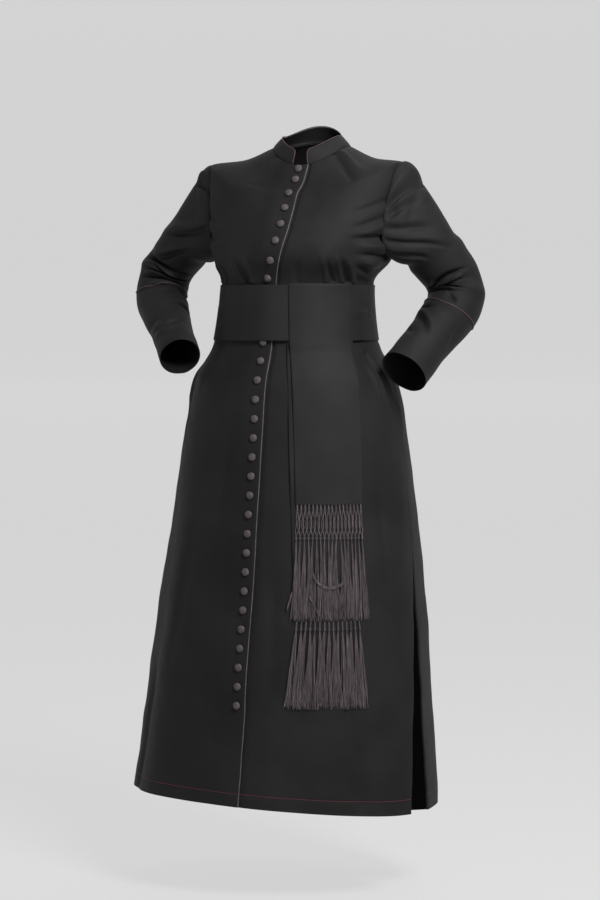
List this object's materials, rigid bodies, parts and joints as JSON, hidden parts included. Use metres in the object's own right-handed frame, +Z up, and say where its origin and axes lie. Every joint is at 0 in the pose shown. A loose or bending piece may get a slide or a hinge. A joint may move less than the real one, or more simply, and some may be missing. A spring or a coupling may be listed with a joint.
{
  "type": "cassock",
  "caption": "Worn full-length cassock, hollow and open at neck, cuffs and hem, buttoned down the front, with a wide waist band and two hanging fringed ends.",
  "frame": {"origin": "middle of the neck opening, at the height where the shoulder seams meet the collar", "axes": "+Z up, -Y the way the garment faces, +X the wearer's left"},
  "size_m": [0.7438, 0.5171, 1.3808],
  "materials": {
    "twill": "matte black wool twill",
    "band": "matte black twill, doubled",
    "trim": "warm grey covered buttons and piping",
    "fringe": "warm dark grey cords with a soft sheen"
  },
  "bodies": {
    "root": {"front_right": "twill", "front_left": "twill", "back_right": "twill", "back_left": "twill", "pleat_right": "twill", "pleat_left": "twill", "sleeve_right_upper": "twill", "sleeve_right_lower": "twill", "sleeve_left_upper": "twill", "sleeve_left_lower": "twill", "collar": "twill", "waist_band": "band", "front_fall": "band", "under_fall": "band", "upper_fringe": "fringe", "lower_fringe": "fringe", "collar_piping": "trim", "front_piping": "trim", "sleeve_right_piping": "trim", "sleeve_left_piping": "trim", "button_01": "trim", "button_02": "trim", "button_03": "trim", "button_04": "trim", "button_05": "trim", "button_06": "trim", "button_07": "trim", "button_08": "trim", "button_09": "trim", "button_10": "trim", "button_11": "trim", "button_12": "trim", "button_13": "trim", "button_14": "trim", "button_15": "trim", "button_16": "trim", "button_17": "trim", "button_18": "trim", "button_19": "trim", "button_20": "trim", "button_21": "trim", "button_22": "trim", "button_23": "trim", "button_24": "trim", "button_25": "trim", "button_26": "trim", "button_27": "trim", "button_28": "trim", "button_29": "trim", "button_30": "trim"}
  },
  "joints": []
}
